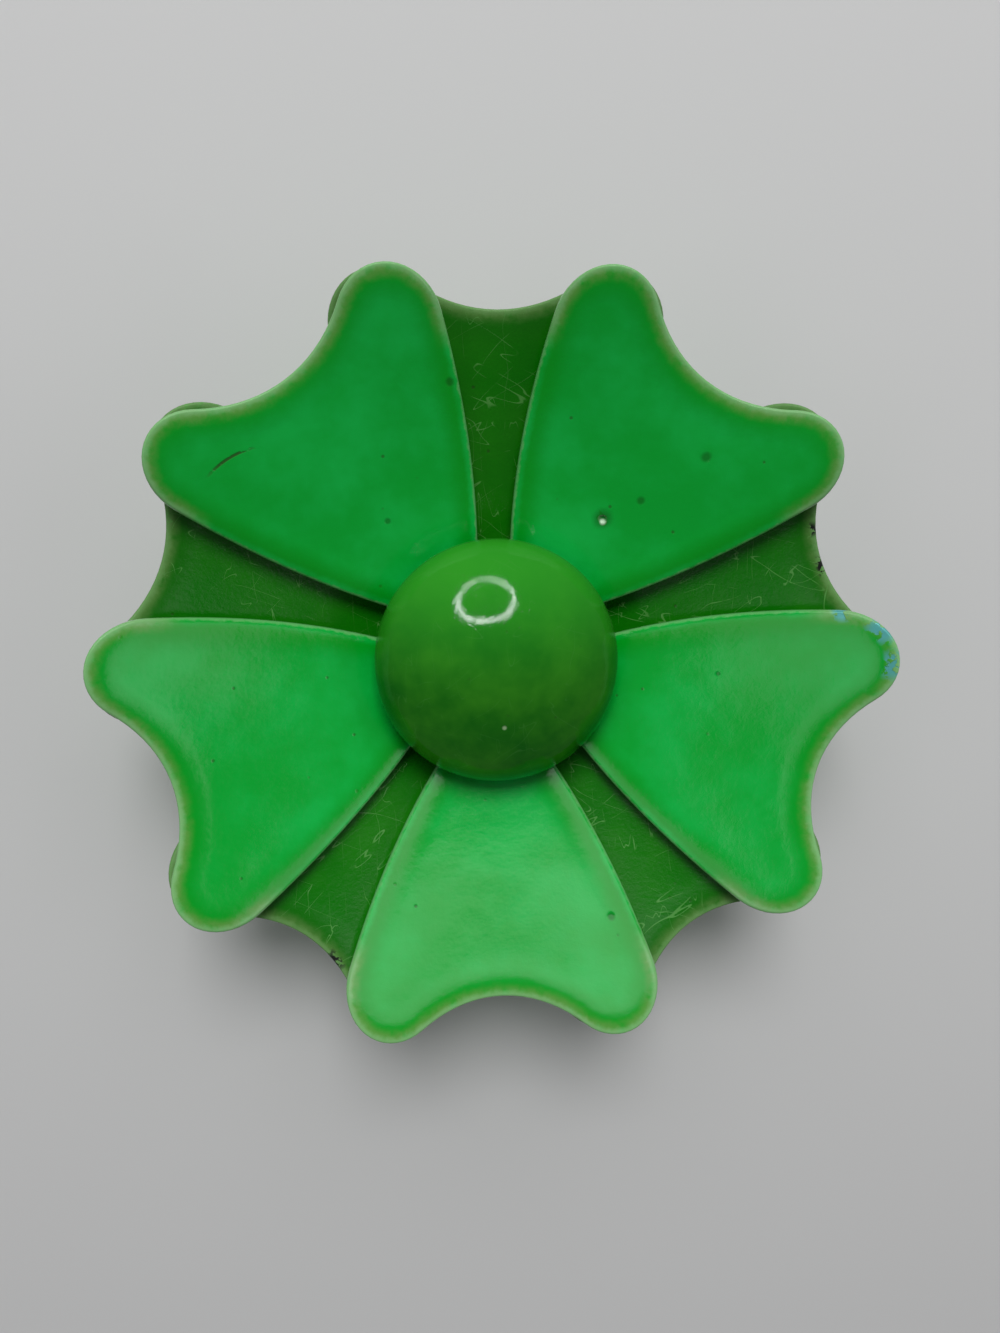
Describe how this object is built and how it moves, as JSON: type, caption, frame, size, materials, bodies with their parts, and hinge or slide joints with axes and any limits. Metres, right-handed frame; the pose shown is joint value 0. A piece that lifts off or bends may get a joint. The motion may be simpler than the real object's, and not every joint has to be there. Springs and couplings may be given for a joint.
{
  "type": "flower brooch",
  "caption": "Two-tier enamelled metal flower brooch with scooped petals, a domed button centre and a hinged bar pin with a roll-over catch on the back.",
  "frame": {"origin": "on the flower's own axis, in the plane that the pin's hinge and catch stand on when the brooch lies face up", "axes": "+Z runs from the pin at the back to the dome at the front, +Y is up as worn, +X is the wearer's left, which is to the right seen from the front"},
  "size_m": [0.071, 0.068, 0.0243],
  "materials": {
    "front_enamel": "glossy bright green baked enamel",
    "back_enamel": "glossy moss green baked enamel",
    "dome_enamel": "glossy mottled olive green baked enamel",
    "nickel_plate": "dulled nickel plate",
    "rivet_steel": "plain steel",
    "stem_steel": "bright drawn steel wire"
  },
  "bodies": {
    "back": {"lower_petals": "back_enamel", "layer_spacer": "nickel_plate", "backing_washer": "nickel_plate", "pin_bar": "nickel_plate", "bar_rivets": "rivet_steel", "hinge_pin": "rivet_steel", "catch_housing": "nickel_plate", "centre_rivet": "rivet_steel", "dome_collar": "nickel_plate", "dome_back_plate": "nickel_plate", "dome_cap": "dome_enamel"},
    "front_flower": {"upper_petals": "front_enamel"},
    "stem": {"pin_stem": "stem_steel"},
    "catch": {"catch_rotor": "stem_steel"}
  },
  "joints": [
    {"name": "petal_swivel", "type": "hinge", "parent": "back", "child": "front_flower", "pos_m": [0, 0, 0.0121], "axis": [0, 0, 1], "continuous": true},
    {"name": "stem_swing", "type": "hinge", "parent": "back", "child": "stem", "pos_m": [-0.0165, 0, 0.0015], "axis": [0, 1, 0], "range_deg": [0, 75]},
    {"name": "catch_turn", "type": "hinge", "parent": "back", "child": "catch", "pos_m": [0.0156, 0, 0.0015], "axis": [-1, 0, 0], "range_deg": [0, 90]}
  ]
}
